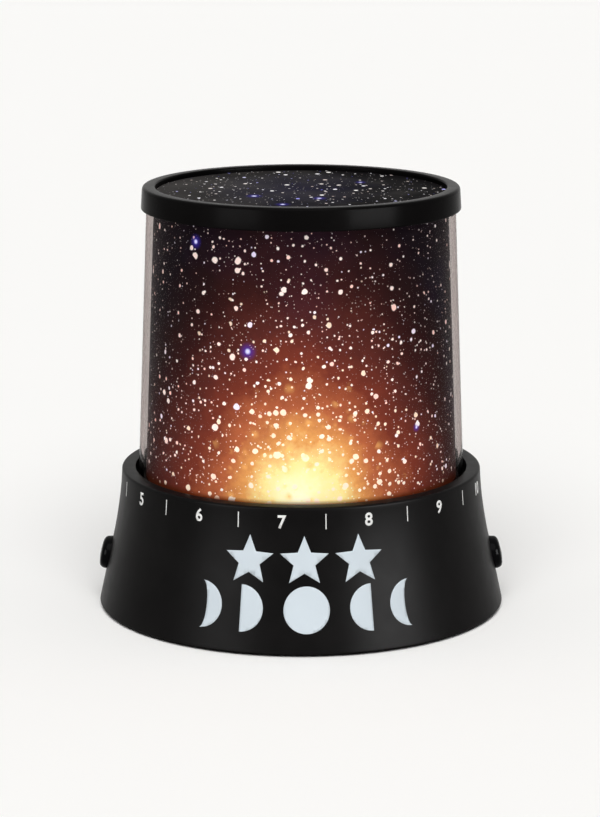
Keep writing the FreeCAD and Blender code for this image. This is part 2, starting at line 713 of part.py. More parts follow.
def make_led_post():
    """A square hollow mast with a foot that spreads on the control board."""
    body = new_body("led_post")
    half, inside = "mast_size / 2", "mast_size / 2 - mast_wall"
    foot = f"({half} + mast_foot)"
    bore = centred("0", "0", f"({inside})", f"({inside})")
    pad(body, new_sketch(body, "XY", [centred("0", "0", foot, f"({half})"), bore], lift=BOARD_TOP),
        f"min(mast_foot_thick; {LED_BOARD_UNDER} - {BOARD_TOP})")
    pad(body, new_sketch(body, "XY", [centred("0", "0", f"({half})", f"({half})"), bore], lift=BOARD_TOP),
        f"{LED_BOARD_UNDER} - {BOARD_TOP}")
    return body


def make_led_pins():
    body = new_body("led_pins")
    half = "pin_size / 2"
    pins = [centred(f"{i - (LED_PINS - 1) / 2} * pin_pitch", "0", half, half) for i in range(LED_PINS)]
    pad(body, new_sketch(body, "XY", pins, lift=BOARD_TOP), f"{LED_BOARD_UNDER} - {BOARD_TOP}")
    return body


def make_led_board():
    """A square board with its corners cut off, so that it clears the dome's neck."""
    body = new_body("led_board")
    half, cut = "led_board_size / 2", "led_board_size / 4"
    corners = [(half, cut), (cut, half)]
    board = []
    for sx, sy, order in ((1, 1, 1), (-1, 1, -1), (-1, -1, 1), (1, -1, -1)):
        board += [(f"{sx} * {x}", f"{sy} * {y}") for x, y in corners[::order]]
    pad(body, new_sketch(body, "XY", [board], lift=LED_BOARD_UNDER), "board_thick")
    return body


def make_led(label, x="0", y="0"):
    """A round LED with a drawn-in nose, which stands on the LED board."""
    led = turned(label, [
        ("0", "0"), ("led_radius", "0"), ("led_radius", "led_length - led_radius * 0.8"),
        ("led_radius * 0.7", "led_length - led_radius * 0.25"), ("led_radius * 0.3", "led_length"),
        ("0", "led_length")], LEAST_SIDES)
    led.Placement.Base = V(number(x), number(y), number(LED_SEAT))
    return led


def make_colour_leds():
    return group("leds_colour", [make_led(f"led_colour_{i + 1}", x, y)
                                 for i, (x, y) in enumerate(spaced(3, "led_circle", first="90"))])


def make_button(label, turn):
    """A drafted cap with a slanted face like the wall's, on a stem with a collar behind."""
    face = f"({WALL_X} + button_proud)"
    lean = "(button_radius * tan(button_tilt))"
    body = body_from(label, turned(f"{label}_blank", [
        ("0", BUTTON_BACK),
        ("button_radius + collar_lip", BUTTON_BACK),
        ("button_radius + collar_lip", f"{BUTTON_BACK} + collar_thick"),
        ("button_radius", f"{BUTTON_BACK} + collar_thick"),
        ("button_radius", WALL_X),
        ("button_radius - button_taper", f"{face} - {lean} - button_edge"),
        ("button_radius - button_taper - button_edge", f"{face} + {lean}"),
        ("0", f"{face} + {lean}"),
    ], SMALL_SIDES))
    body.Placement.Rotation = FreeCAD.Rotation(V(0, 0, 1), turn) * FreeCAD.Rotation(V(0, 1, 0), 90)
    body.setExpression("Placement.Base.z", bound("button_height"))
    high = "(2 * button_radius)"
    wedge = [(high, f"{face} + 2 * {lean}"), (high, f"{face} + 3 * {lean}"),
             (f"-{high}", f"{face} + 3 * {lean}"), (f"-{high}", f"{face} - 2 * {lean}")]
    pocket(body, new_sketch(body, "XZ", [wedge]), f"2 * {high}", both_ways=True)
    return body


def make_plunger(label, turn):
    body = new_body(label, z="button_height", turn=turn)
    half = "plunger_size / 2"
    stem = rectangle(f"{BUTTON_BACK} - plunger_length", BUTTON_BACK, f"-{half}", half)
    pad(body, new_sketch(body, "XZ", [stem]), "plunger_size", both_ways=True)
    return body


def make_switch(label, turn):
    """A square push switch, open in front for its plunger's whole travel."""
    body = new_body(label, z="button_height", turn=turn)
    half = "switch_size / 2"
    case = rectangle(SWITCH_BACK, SWITCH_FRONT, f"-{half}", half)
    pad(body, new_sketch(body, "XZ", [case]), "switch_size", both_ways=True)
    half = "(plunger_size / 2 + fit_gap)"
    depth = "plunger_length - plunger_reach + button_travel + fit_gap"
    bore = rectangle(f"{SWITCH_FRONT} - ({depth})", f"{SWITCH_FRONT} + overrun", f"-{half}", half)
    pocket(body, new_sketch(body, "XZ", [bore]), f"2 * {half}", both_ways=True)
    return body


def make_jack():
    """A square inlet whose round nose stands in the wall's hole."""
    body = new_body("dc_jack", z=JACK_Z, turn=90)
    half = "jack_width / 2"
    case = rectangle(JACK_BACK, JACK_FRONT, f"-{half}", half)
    pad(body, new_sketch(body, "XZ", [case]), "jack_width", both_ways=True)
    nose = [("0", "0", "nose_radius")]
    pad(body, new_sketch(body, "YZ", circles=nose, lift=JACK_FRONT), "nose_length")
    socket = [("0", "0", "socket_radius")]
    pocket(body, new_sketch(body, "YZ", circles=socket, lift=f"{JACK_FRONT} + nose_length"), "socket_depth")
    return body


def make_jack_pin():
    body = new_body("jack_pin", z=JACK_Z, turn=90)
    root = f"{JACK_FRONT} + nose_length - socket_depth"
    pad(body, new_sketch(body, "YZ", circles=[("0", "0", "jack_pin_radius")], lift=root),
        "socket_depth - overrun")
    return body


def make_lead(label, start, height, board_edge, turn):
    """A flat twin lead. It leaves a part's back, climbs beside the bay and lands on the board."""
    body = new_body(label, turn=turn)
    column = f"({start} - lead_stub)"
    land = f"({board_edge} - lead_land)"
    hump = f"({BOARD_TOP} + lead_hump)"
    side, bend = "lead_thick / 2", "lead_bend"
    inner, outer = f"{bend} - {side}", f"{bend} + {side}"
    strip = [
        (start, f"{height} - {side}"),
        (f"{column} + {bend}", f"{height} - {side}", f"-{outer}"),
        (f"{column} - {side}", f"{height} + {bend}"),
        (f"{column} - {side}", f"{hump} - {bend}", inner),
        (f"{column} - {bend}", f"{hump} - {side}"),
        (f"{land} + {bend}", f"{hump} - {side}", inner),
        (f"{land} + {side}", f"{hump} - {bend}"),
        (f"{land} + {side}", BOARD_TOP),
        (f"{land} - {side}", BOARD_TOP),
        (f"{land} - {side}", f"{hump} - {bend}", f"-{outer}"),
        (f"{land} + {bend}", f"{hump} + {side}"),
        (f"{column} - {bend}", f"{hump} + {side}", f"-{outer}"),
        (f"{column} + {side}", f"{hump} - {bend}"),
        (f"{column} + {side}", f"{height} + {bend}", inner),
        (f"{column} + {bend}", f"{height} + {side}"),
        (start, f"{height} + {side}"),
    ]
    pad(body, new_sketch(body, "XZ", [strip]), "lead_width", both_ways=True)
    return body


def dome_rings(radius):
    """Rings whose corners lie on a sphere."""
    return [(f"{radius} * cos({i * ZONE_STEP})", f"{DOME_Z} + {radius} * sin({i * ZONE_STEP})")
            for i in range(DOME_ZONES + 1)]


def make_star_dome():
    """A faceted dome on a flange and a neck, pierced by pin holes of three sizes."""
    inner_radius = f"({DOME_RADIUS} - dome_wall)"
    bore_radius = f"({NECK_RADIUS} - neck_wall)"
    top = DOME_ZONES * ZONE_STEP
    shell = turned("dome_blank", [
        (f"{bore_radius} - overrun", FLANGE_UNDER),
        (FLANGE_RADIUS, FLANGE_UNDER),
        (FLANGE_RADIUS, DOME_Z),
        *dome_rings(DOME_RADIUS),
        ("0", f"{DOME_Z} + {DOME_RADIUS} * sin({top})"),
        ("0", f"{DOME_Z} + {inner_radius} * sin({top})"),
        *dome_rings(inner_radius)[::-1],
        (f"{bore_radius} - overrun", DOME_Z),
    ], DOME_SIDES)
    parts = [shell, cylinder("dome_neck", NECK_RADIUS, RETAINER_TOP, f"{FLANGE_UNDER} + flange_thick / 2"),
             cylinder("dome_step", STEP_RADIUS, RETAINER_UNDER, f"{FLANGE_UNDER} + flange_thick / 2")]
    whole = doc.addObject("Part::MultiFuse", "dome_whole")
    whole.Shapes = parts
    bore = turned("dome_bore", rectangle("0", bore_radius, f"{RETAINER_UNDER} - overrun",
                                         f"{DOME_Z} + overrun"), DOME_SIDES)
    stars = doc.addObject("Part::Feature", "star_pins")
    stars.Shape = Part.makeCompound([star_pin(i) for i in range(STARS)] + [bore.Shape])
    dome = doc.addObject("Part::Cut", "star_dome")
    dome.Label = "star_dome"
    dome.Base = whole
    dome.Tool = stars
    doc.recompute()
    return dome


def cylinder(label, radius, low, high):
    """A true cylinder about Z between two heights."""
    piece = doc.addObject("Part::Cylinder", label)
    piece.setExpression("Radius", bound(radius))
    piece.setExpression("Height", bound(f"{high} - ({low})"))
    piece.setExpression("Placement.Base.z", bound(low))
    return piece


def star_pin(i):
    """A pin square to the dome's wall. The places climb in a golden-angle spiral."""
    lowest, highest = math.sin(math.radians(10)), math.sin(math.radians(DOME_ZONES * ZONE_STEP - 4))
    rise = math.asin(lowest + (highest - lowest) * (i + 0.5) / STARS)
    around = math.radians(GOLDEN_ANGLE * i)
    way = V(math.cos(rise) * math.cos(around), math.cos(rise) * math.sin(around), math.sin(rise))
    length = 2 * number("dome_wall") + 2 * number("overrun")
    start = V(0, 0, number(DOME_Z)) + way * (number(DOME_RADIUS) + number("overrun") - length)
    radius = number("star_radius") * (1 + i % 3 / 2)
    across = way.cross(V(0, 0, 1)).normalize()
    corners = [start + FreeCAD.Rotation(way, 360 * k / PIN_SIDES).multVec(across) * radius
               for k in range(PIN_SIDES)]
    return Part.Face(Part.makePolygon(corners + corners[:1])).extrude(way * length)


def make_dome_retainer():
    """A ring pressed on the neck's step. It keeps the dome from lifting out of the deck."""
    # its flats touch the neck's round step
    inner = f"({STEP_RADIUS} / cos({180 / DOME_SIDES}))"
    outer = f"({HOLE_RADIUS} + retainer_lip)"
    return turned("dome_retainer", rectangle(inner, outer, RETAINER_UNDER, RETAINER_TOP), DOME_SIDES)


def make_shade_tube():
    """A clear tapered tube with an inner lip at its foot that carries the film."""
    lip = f"({FILM_FOOT} - 2 * film_thick)"
    return turned("shade_tube", [
        (SHADE_FOOT, MOAT_FLOOR),
        (SHADE_TOP, TUBE_TOP),
        (f"{SHADE_TOP} - tube_wall", TUBE_TOP),
        (f"{SHADE_FOOT} - {TUBE_SLOPE} * tube_lip - tube_wall", FILM_FOOT_Z),
        (lip, FILM_FOOT_Z),
        (lip, MOAT_FLOOR),
    ])


def make_star_film():
    """A printed film, rolled into a cone that stands on the tube's lip."""
    return turned("star_film", [(FILM_FOOT, FILM_FOOT_Z), (FILM_TOP, TUBE_TOP),
                                (f"{FILM_TOP} - film_thick", TUBE_TOP),
                                (f"{FILM_FOOT} - film_thick", FILM_FOOT_Z)])


def make_top_ring():
    """A cap ring with a groove below for the tube and the film, and a seat above for the disc."""
    outer = f"({SHADE_TOP} + ring_overlap)"
    under = "(lamp_height - ring_height)"
    groove = f"({SHADE_TOP} + fit_gap)"
    return turned("top_ring", [
        (outer, under),
        (f"{outer} - ring_draft", "lamp_height - ring_edge"),
        (f"{outer} - ring_draft - ring_edge", "lamp_height"),
        (OPENING_RADIUS, "lamp_height"),
        (OPENING_RADIUS, DISC_UNDER),
        (SEAT_RADIUS, DISC_UNDER),
        (SEAT_RADIUS, TUBE_TOP),
        (groove, TUBE_TOP),
        (groove, under),
    ])


def make_star_disc():
    edge = f"({OPENING_RADIUS} - fit_gap / 2)"
    return turned("star_disc", rectangle("0", edge, DISC_UNDER, f"{DISC_UNDER} + disc_thick"))


def check(part):
    """Each sub-part is one or more valid closed solids."""
    if "Invalid" in part.State or "Error" in part.State:
        raise RuntimeError(f"{part.Label} is in a failed state")
    if part.Shape.isNull() or not part.Shape.isValid() or not part.Shape.Solids:
        raise RuntimeError(f"{part.Label} has no valid solid")


PARTS = [
    make_base_shell(),
    make_bottom_cover(),
    make_battery_door(),
    make_rubber_feet(),
    make_screws("base_screws", boss_places(), f"{PLATE_UNDER} + head_height", "screw_length", upward=True),
    make_battery_cells(),
    make_contact_plates(),
    make_contact_leaves(),
    make_control_board(),
    make_screws("board_screws", board_screw_places(), BOARD_TOP, "board_screw_length", upward=False),
    make_board_blocks("control_chip", [CHIP_SHARES], "chip_length / 2", "chip_width / 2", "chip_height"),
    make_board_blocks("resistors", RESISTOR_SHARES, "resistor_width / 2", "resistor_length / 2",
                      "resistor_height"),
    make_capacitor(),
    make_led_post(),
    make_led_pins(),
    make_led_board(),
    make_led("led_warm"),
    make_colour_leds(),
    make_switch("switch_left", 180),
    make_switch("switch_right", 0),
    make_plunger("plunger_left", 180),
    make_plunger("plunger_right", 0),
    make_button("button_left", 180),
    make_button("button_right", 0),
    make_jack(),
    make_jack_pin(),
    make_lead("switch_lead_left", SWITCH_BACK, "button_height", BOARD_X, 180),
    make_lead("switch_lead_right", SWITCH_BACK, "button_height", BOARD_X, 0),
    make_lead("jack_lead", JACK_BACK, JACK_Z, BOARD_Y, 90),
    make_star_dome(),
    make_dome_retainer(),
    make_shade_tube(),
    make_star_film(),
    make_top_ring(),
    make_star_disc(),
]

doc.recompute()
for thing in doc.Objects:
    if "Invalid" in thing.State or "Error" in thing.State:
        raise RuntimeError(f"{thing.Label} failed")
for part in PARTS:
    check(part)
os.makedirs("parts", exist_ok=True)
for part in PARTS:
    part.Shape.exportStep(f"parts/{part.Label}.step")
    box = part.Shape.BoundBox
    print(f"{part.Label:20s} {len(part.Shape.Solids):3d} {part.Shape.Volume:10.1f} "
          f"z {box.ZMin:7.2f} {box.ZMax:7.2f}")
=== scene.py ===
import math

import bmesh
import bpy
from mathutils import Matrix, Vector


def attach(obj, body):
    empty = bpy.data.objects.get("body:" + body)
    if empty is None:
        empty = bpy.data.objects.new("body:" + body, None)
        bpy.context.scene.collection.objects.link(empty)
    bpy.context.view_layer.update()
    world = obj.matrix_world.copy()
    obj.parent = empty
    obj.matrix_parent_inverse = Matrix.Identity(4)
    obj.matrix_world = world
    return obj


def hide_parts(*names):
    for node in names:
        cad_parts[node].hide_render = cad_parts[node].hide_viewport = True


# The look of the star projector: every round form turned smooth, printed figures and a plain
# moon-and-star print on the base, the starry film and disc, and a soft studio around it.

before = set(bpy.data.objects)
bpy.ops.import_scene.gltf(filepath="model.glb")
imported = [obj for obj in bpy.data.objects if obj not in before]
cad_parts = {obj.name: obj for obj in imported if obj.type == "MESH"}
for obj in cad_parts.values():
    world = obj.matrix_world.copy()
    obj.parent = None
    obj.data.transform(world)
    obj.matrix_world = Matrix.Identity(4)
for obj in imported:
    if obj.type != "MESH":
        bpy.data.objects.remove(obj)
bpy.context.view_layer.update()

MM = 0.001

# the sizes of part.py that the smooth forms share with their nodes, in millimetres
LAMP_H = 120.4
BASE_R, BASE_H = 58, 40
FOOT, WALL = 0.8, 2.0
# the base's wall leans in evenly up to the cone's top, and less and less above it
CONE_H, CONE_LEAN = 21, 4.4
FLARE_LEAN, FLARE_POWER = 2.4, 1.6
RIM_R = BASE_R - CONE_LEAN - FLARE_LEAN
# the groove that the shade stands in, and the deck with the dome's hole
MOAT_OUT = RIM_R - 3.9
MOAT_IN = MOAT_OUT - 4.3
MOAT_Z = BASE_H - 3.5
DECK_Z = BASE_H - 0.8
HOLE_R = MOAT_IN - 12
# what sits in the base's wall and under it
BUTTON_Z, BUTTON_R = 13.7, 4.8
INLET_Z, INLET_R = 8.1, 3.6
SCREW_X, SCREW_Y = 36.04, 25.24
# the shade's tube, film, ring and disc
SHADE_FOOT, SHADE_TOP, TUBE_TOP, TUBE_WALL = 46.5, 43.4, 117.0, 1.2
FILM_FOOT, FILM_TOP, FILM_Z, FILM_T = 44.354, 41.3, 37.7, 0.4
RING_H, RING_R, OPEN_R, SEAT_R = 6.3, 45.0, 40.9, 39.3
DISC_Z, DISC_T = 117.9, 1
# the dome's centre height, radius and wall, and the angle at which its nearly flat top begins
DOME_Z, DOME_R, DOME_WALL, DOME_TOP = 41.3, 33.5, 1.4, 72

# sides of the large turned forms, and the angle in degrees above which an edge stays sharp
FINE = 256
SHARP = 32


def outer_radius(z):
    """The base's outside radius at a height, in millimetres."""
    if z <= CONE_H:
        return BASE_R - CONE_LEAN * (z - FOOT) / (CONE_H - FOOT)
    share = min((z - CONE_H) / (BASE_H - CONE_H), 1)
    return BASE_R - CONE_LEAN - FLARE_LEAN * (1 - (1 - share) ** FLARE_POWER)


# mesh helpers

def rounded(section, radii, steps=5):
    """A closed outline of (r, z) corners with the corners named in radii rounded off."""
    out = []
    count = len(section)
    for i, (r, z) in enumerate(section):
        radius = radii.get(i, 0)
        if not radius:
            out.append((r, z))
            continue
        here = Vector((r, z))
        before = Vector(section[i - 1]) - here
        after = Vector(section[(i + 1) % count]) - here
        reach = min(radius, before.length * 0.49, after.length * 0.49)
        start = here + before.normalized() * reach
        end = here + after.normalized() * reach
        for k in range(steps + 1):
            t = k / steps
            p = start * (1 - t) ** 2 + here * 2 * t * (1 - t) + end * t ** 2
            out.append((p.x, p.y))
    return out


def mesh_object(name, bm, material, sharp=SHARP):
    """Turn a finished drawing of faces into a smooth-shaded object."""
    bmesh.ops.recalc_face_normals(bm, faces=bm.faces)
    mesh = bpy.data.meshes.new(name)
    bm.to_mesh(mesh)
    bm.free()
    mesh.shade_smooth()
    mesh.set_sharp_from_angle(angle=math.radians(sharp))
    piece = bpy.data.objects.new(name, mesh)
    bpy.context.collection.objects.link(piece)
    if material:
        mesh.materials.append(material)
    return piece


def lathe_mesh(bm, section, sides):
    """Turn a closed outline of (r, z) in millimetres about Z."""
    rings = []
    for r, z in section:
        if r < 1e-6:
            rings.append([bm.verts.new((0, 0, z * MM))])
        else:
            rings.append([bm.verts.new((r * MM * math.cos(2 * math.pi * k / sides),
                                        r * MM * math.sin(2 * math.pi * k / sides), z * MM))
                          for k in range(sides)])
    for i, here in enumerate(rings):
        there = rings[(i + 1) % len(rings)]
        if len(here) == 1 and len(there) == 1:
            continue
        for k in range(sides):
            n = (k + 1) % sides
            if len(here) == 1:
                bm.faces.new((here[0], there[k], there[n]))
            elif len(there) == 1:
                bm.faces.new((here[k], here[n], there[0]))
            else:
                bm.faces.new((here[k], here[n], there[n], there[k]))


def lathe(name, section, material, sides=192, sharp=SHARP):
    """A turned piece."""
    bm = bmesh.new()
    lathe_mesh(bm, section, sides)
    return mesh_object(name, bm, material, sharp)


def box(bm, centre, size):
    """Add a block, in millimetres."""
    made = bmesh.ops.create_cube(bm, size=MM)
    bmesh.ops.scale(bm, verts=made["verts"], vec=size)
    bmesh.ops.translate(bm, verts=made["verts"], vec=Vector(centre) * MM)


def join_into(target, source):
    """Move one drawing of faces into another."""
    mesh = bpy.data.meshes.new("part")
    source.to_mesh(mesh)
    source.free()
    target.from_mesh(mesh)
    bpy.data.meshes.remove(mesh)


def apply_modifiers(piece):
    graph = bpy.context.evaluated_depsgraph_get()
    done = bpy.data.meshes.new_from_object(piece.evaluated_get(graph))
    piece.modifiers.clear()
    old = piece.data
    piece.data = done
    bpy.data.meshes.remove(old)


def carve(piece, bm):
    """Cut closed forms out of a piece."""
    cutter = mesh_object("cutter", bm, None)
    cut = piece.modifiers.new("holes", "BOOLEAN")
    cut.object = cutter
    cut.solver = "EXACT"
    apply_modifiers(piece)
    bpy.data.objects.remove(cutter)
    # the cut leaves a few slivers without area, which go
    clean = bmesh.new()
    clean.from_mesh(piece.data)
    bmesh.ops.dissolve_degenerate(clean, dist=0.001 * MM, edges=clean.edges[:])
    clean.to_mesh(piece.data)
    clean.free()
    piece.data.set_sharp_from_angle(angle=math.radians(SHARP))


def drill(piece, cutters):
    """Cut cylinders (centre, axis, radius, length, in millimetres) out of a piece."""
    bm = bmesh.new()
    for centre, axis, radius, length in cutters:
        turn = Vector(axis).normalized().to_track_quat("Z", "Y").to_matrix().to_4x4()
        turn.translation = Vector(centre) * MM
        sides = 48 if radius > 1 else 16
        bmesh.ops.create_cone(bm, cap_ends=True, segments=sides, radius1=radius * MM,
                              radius2=radius * MM, depth=length * MM, matrix=turn)
    carve(piece, bm)


# materials

class Nodes:
    """Short names for the nodes that the materials are built from."""

    def __init__(self, name):
        self.mat = bpy.data.materials.new(name)
        self.mat.use_nodes = True
        self.tree = self.mat.node_tree
        self.shader = self.tree.nodes["Principled BSDF"]
        self.out = self.tree.nodes["Material Output"]

    def new(self, kind, **values):
        node = self.tree.nodes.new("ShaderNode" + kind)
        for key, value in values.items():
            setattr(node, key, value)
        return node

    def link(self, source, target):
        self.tree.links.new(source, target)

    def feed(self, socket, value):
        """Set a socket to a number or a colour, or link an output to it."""
        if isinstance(value, (int, float)):
            socket.default_value = value
        elif isinstance(value, (tuple, list)):
            socket.default_value = (*value, 1)[:len(socket.default_value)]
        else:
            self.link(value, socket)

    def math(self, op, a, b=0.0, clamp=False):
        node = self.new("Math", operation=op, use_clamp=clamp)
        self.feed(node.inputs[0], a)
        self.feed(node.inputs[1], b)
        return node.outputs[0]

    def length(self, a, b):
        """The length of a way that goes a to one side and b to the other."""
        squares = [self.math("POWER", self.math("ABSOLUTE", part), 2.0) for part in (a, b)]
        return self.math("SQRT", self.math("ADD", *squares))

    def place(self):
        """The point on the piece in millimetres, as x, y, z."""
        coords = self.new("TexCoord")
        parts = self.new("SeparateXYZ")
        self.link(coords.outputs["Object"], parts.inputs[0])
        return [self.math("MULTIPLY", out, 1000.0) for out in parts.outputs]

    def vector(self, x, y, z):
        node = self.new("CombineXYZ")
        for socket, value in zip(node.inputs, (x, y, z)):
            self.feed(socket, value)
        return node.outputs[0]

    def noise(self, vector, scale, detail=2.0, rough=0.5):
        node = self.new("TexNoise")
        self.feed(node.inputs["Vector"], vector)
        node.inputs["Scale"].default_value = scale
        node.inputs["Detail"].default_value = detail
        node.inputs["Roughness"].default_value = rough
        return node.outputs["Fac"]

    def sway(self, vector, reach, scale, detail, rough=0.5):
        """Noise that swings about zero."""
        centred = self.math("SUBTRACT", self.noise(vector, scale, detail, rough), 0.5)
        return self.math("MULTIPLY", centred, reach)

    def ramp(self, fac, stops):
        node = self.new("ValToRGB")
        elements = node.color_ramp.elements
        while len(elements) < len(stops):
            elements.new(0.5)
        for element, (place, colour) in zip(elements, stops):
            element.position = place
            element.color = (*colour, 1)
        self.feed(node.inputs[0], fac)
        return node.outputs[0]

    def mix(self, fac, a, b):
        node = self.new("MixRGB")
        self.feed(node.inputs[0], fac)
        self.feed(node.inputs[1], a)
        self.feed(node.inputs[2], b)
        return node.outputs[0]

    def bump(self, height, strength, distance):
        node = self.new("Bump")
        node.inputs["Strength"].default_value = strength
        node.inputs["Distance"].default_value = distance
        self.feed(node.inputs["Height"], height)
        self.link(node.outputs[0], self.shader.inputs["Normal"])

    def paint_glow(self, colour, strength, rough, specular):
        """Finish a print that also gives off some of its own colour: a painted glow, since the print is
        no lamp.
        """
        self.link(colour, self.shader.inputs["Base Color"])
        self.link(colour, self.shader.inputs["Emission Color"])
        self.shader.inputs["Emission Strength"].default_value = strength
        self.shader.inputs["Roughness"].default_value = rough
        self.shader.inputs["Specular IOR Level"].default_value = specular
        return self.mat


def srgb(*levels):
    """Linear colour from 0-255 display levels."""
    return tuple((v / 255 / 12.92) if v / 255 <= 0.04045 else ((v / 255 + 0.055) / 1.055) ** 2.4
                 for v in levels)


def plastic(name, colour, rough, grain=0.0, specular=0.5, coat=0.0, patch=0.25):
    """Moulded plastic: slow shifts of tone, fine grain and a roughness that wanders a little."""
    n = Nodes(name)
    at = n.vector(*n.place())
    dark = tuple(c * (1 - patch) for c in colour)
    light = tuple(c * (1 + patch) for c in colour)
    n.link(n.ramp(n.noise(at, 0.06, 3.0), [(0.3, dark), (0.7, light)]), n.shader.inputs["Base Color"])
    n.feed(n.shader.inputs["Roughness"], n.math("ADD", n.sway(at, 0.12, 0.25, 4.0), rough, clamp=True))
    n.shader.inputs["Specular IOR Level"].default_value = specular
    if coat:
        n.shader.inputs["Coat Weight"].default_value = coat
        n.shader.inputs["Coat Roughness"].default_value = 0.08
    if grain:
        n.bump(n.noise(at, 4.0, 3.0, 0.6), grain, 0.0001)
    return n.mat


def metal(name, colour, rough):
    """Plated metal with faint drawn lines along X."""
    n = Nodes(name)
    x, y, z = n.place()
    lines = n.noise(n.vector(n.math("MULTIPLY", x, 0.2), y, z), 3.0, 4.0)
    dark = tuple(c * 0.8 for c in colour)
    n.link(n.ramp(lines, [(0.3, dark), (0.7, colour)]), n.shader.inputs["Base Color"])
    n.shader.inputs["Metallic"].default_value = 1.0
    n.feed(n.shader.inputs["Roughness"], n.math("ADD", n.math("MULTIPLY", lines, 0.2), rough - 0.1))
    return n.mat


def star_layer(n, u, v, cell, share, radius, seed, ragged=0.0, soft=5.0):
    """Stars of many sizes, at most one in a cell of the given size in millimetres:
    (mask, a random number for the tone)."""
    at = n.vector(n.math("DIVIDE", u, cell), n.math("ADD", n.math("DIVIDE", v, cell), seed), seed)
    voronoi = n.new("TexVoronoi", voronoi_dimensions="2D", feature="F1")
    n.feed(voronoi.inputs["Vector"], at)
    voronoi.inputs["Scale"].default_value = 1.0
    voronoi.inputs["Randomness"].default_value = 1.0
    chance = n.new("SeparateColor")
    n.link(voronoi.outputs["Color"], chance.inputs[0])
    first, second, third = chance.outputs
    # a star's radius as a share of its cell: mostly small, now and then large
    grow = n.math("MULTIPLY", n.math("POWER", second, 2.0), 0.72 * radius / cell)
    reach = n.math("ADD", grow, 0.28 * radius / cell)
    lit = n.math("LESS_THAN", first, share)
    away = voronoi.outputs["Distance"]
    if ragged:
        away = n.math("ADD", away, n.sway(at, ragged * radius / cell, 4.0 * cell / radius / 6, 2.0))
    disc = n.math("MULTIPLY", n.math("SUBTRACT", reach, away), soft * cell / radius, clamp=True)
    return n.math("MULTIPLY", disc, lit, clamp=True), third


def blue_star(n, under, u, z, at_u, at_z, size, strength=0.85):
    """One blue star with a violet haze at a place on the film or the disc, in millimetres."""
    near = n.length(n.math("SUBTRACT", u, at_u), n.math("SUBTRACT", z, at_z))
    fall = n.math("SUBTRACT", 1.0, n.math("DIVIDE", near, 2.9 * size), clamp=True)
    haze = n.math("MULTIPLY", n.math("POWER", fall, 1.7), strength)
    hazy = n.mix(haze, under, srgb(66, 52, 190))
    heart = n.math("SUBTRACT", 1.5, n.math("DIVIDE", near, 0.62 * size), clamp=True)
    return n.mix(heart, hazy, srgb(214, 214, 255))


# each layer of stars: cell, share of lit cells, largest radius, seed, strength
FILM_STARS = (
    (0.95, 0.16, 0.18, 3.0, 0.5), (1.4, 0.28, 0.27, 11.0, 0.8), (2.2, 0.40, 0.42, 17.0, 0.95),
    (3.3, 0.54, 0.62, 31.0, 1.0), (4.9, 0.56, 0.88, 47.0, 1.0), (6.6, 0.50, 1.15, 59.0, 1.0))
DISC_STARS = ((1.3, 0.26, 0.26, 5.0, 0.5), (2.3, 0.34, 0.45, 13.0, 0.9), (4.2, 0.32, 0.8, 29.0, 1.0))
# each blue star: its place and size, two of the film's at the front and the others round the back
FILM_BLUE = (
    (-32.5, 109.2, 0.85), (-14.8, 80.8, 1.0), (35.0, 57.5, 0.55), (66.0, 92.0, 1.0),
    (98.0, 66.0, 1.1), (-84.0, 99.0, 0.9), (-112.0, 70.0, 1.1), (128.0, 104.0, 0.9))
DISC_BLUE = ((-13.0, -8.0, 1.0), (5.0, -11.0, 0.9), (-5.0, -19.0, 0.9), (17.0, 11.0, 0.7))


